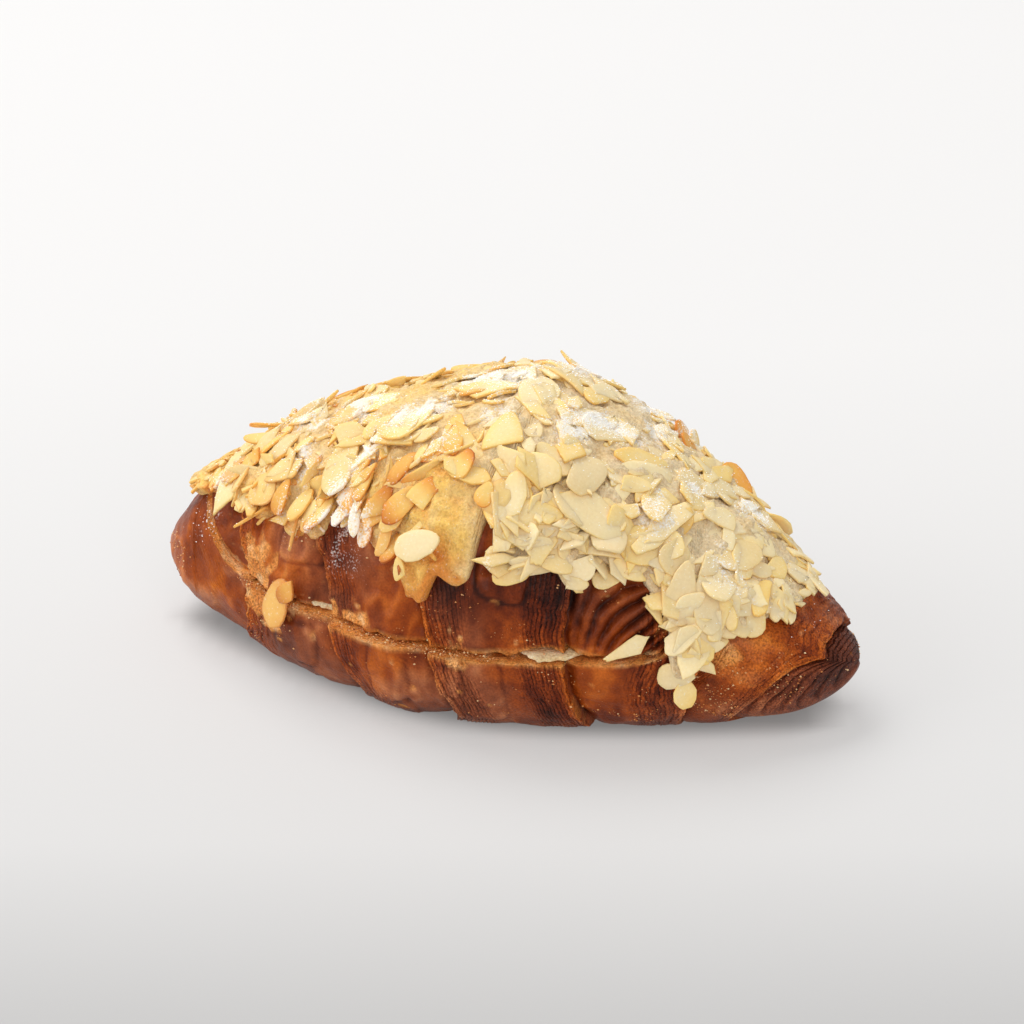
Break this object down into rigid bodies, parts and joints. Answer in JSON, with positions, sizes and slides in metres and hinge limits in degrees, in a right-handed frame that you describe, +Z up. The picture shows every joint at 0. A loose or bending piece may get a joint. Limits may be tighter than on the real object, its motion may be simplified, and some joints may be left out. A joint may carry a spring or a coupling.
{
  "type": "almond croissant",
  "caption": "Baked croissant split like a sandwich, with almond cream in the cut and a topping of almond cream, flaked almonds and icing sugar.",
  "frame": {"origin": "centre of the croissant's box, on the level of its flat underside", "axes": "+Z up, +X along the croissant towards its right horn, -Y towards the front"},
  "size_m": [0.17, 0.0868, 0.0717],
  "materials": {
    "crust_base": "satin",
    "crust_lid": "satin",
    "filling": "matte",
    "topping": "matte"
  },
  "bodies": {
    "root": {"croissant_base": "crust_base", "croissant_lid": "crust_lid", "filling": "filling", "almond_topping": "topping"}
  },
  "joints": []
}
